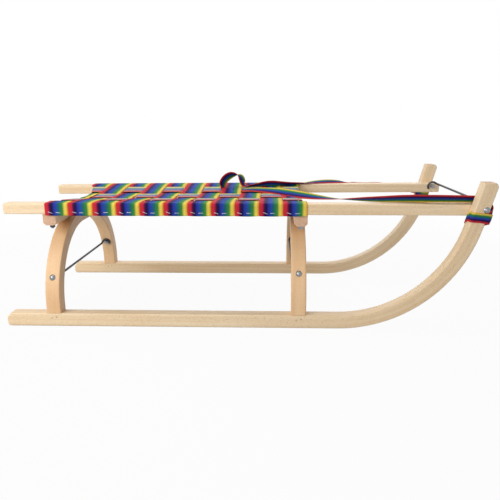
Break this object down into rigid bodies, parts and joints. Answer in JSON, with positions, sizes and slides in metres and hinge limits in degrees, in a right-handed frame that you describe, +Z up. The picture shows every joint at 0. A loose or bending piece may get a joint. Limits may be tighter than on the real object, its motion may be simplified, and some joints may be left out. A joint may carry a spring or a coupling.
{
  "type": "wooden sled",
  "caption": "Wooden horn sled: bent runners rising into horns, bent arches, crossbars and rails with a woven striped webbing seat and a webbing pull strap.",
  "frame": {"origin": "on the ground under the middle of the sled", "axes": "+X forward to the horns, +Y to the sled's left, +Z up"},
  "size_m": [1.0004, 0.4182, 0.302],
  "materials": {
    "beech": "clear satin varnish on pale beech",
    "webbing": "woven polyester webbing with lengthwise rainbow stripes",
    "bright_steel": "bright zinc plated",
    "dark_steel": "dark grey coated wire"
  },
  "bodies": {
    "root": {"runner_left": "beech", "runner_right": "beech", "rail_left": "beech", "rail_right": "beech", "arch_rear": "beech", "arch_front": "beech", "crossbar_rear": "beech", "crossbar_front": "beech", "arch_bolts_rear": "bright_steel", "arch_bolts_front": "bright_steel", "horn_bolts": "bright_steel", "rail_bolts_rear": "bright_steel", "rail_bolts_front": "bright_steel", "arch_nuts_rear": "bright_steel", "arch_nuts_front": "bright_steel", "horn_nuts": "bright_steel", "rail_nuts_rear": "bright_steel", "rail_nuts_front": "bright_steel", "brace_rod_rear": "dark_steel", "brace_rod_front": "dark_steel", "horn_rod": "dark_steel", "cross_strap_01": "webbing", "cross_strap_02": "webbing", "cross_strap_03": "webbing", "cross_strap_04": "webbing", "cross_strap_05": "webbing", "cross_strap_06": "webbing", "cross_strap_07": "webbing", "cross_strap_08": "webbing", "cross_strap_09": "webbing", "cross_strap_10": "webbing", "cross_strap_11": "webbing", "long_strap_left": "webbing", "long_strap_middle": "webbing", "long_strap_right": "webbing", "pull_strap_near_run": "webbing", "pull_strap_hand_loop": "webbing", "pull_strap_far_run": "webbing", "pull_strap_loop_left": "webbing", "pull_strap_loop_right": "webbing"}
  },
  "joints": []
}
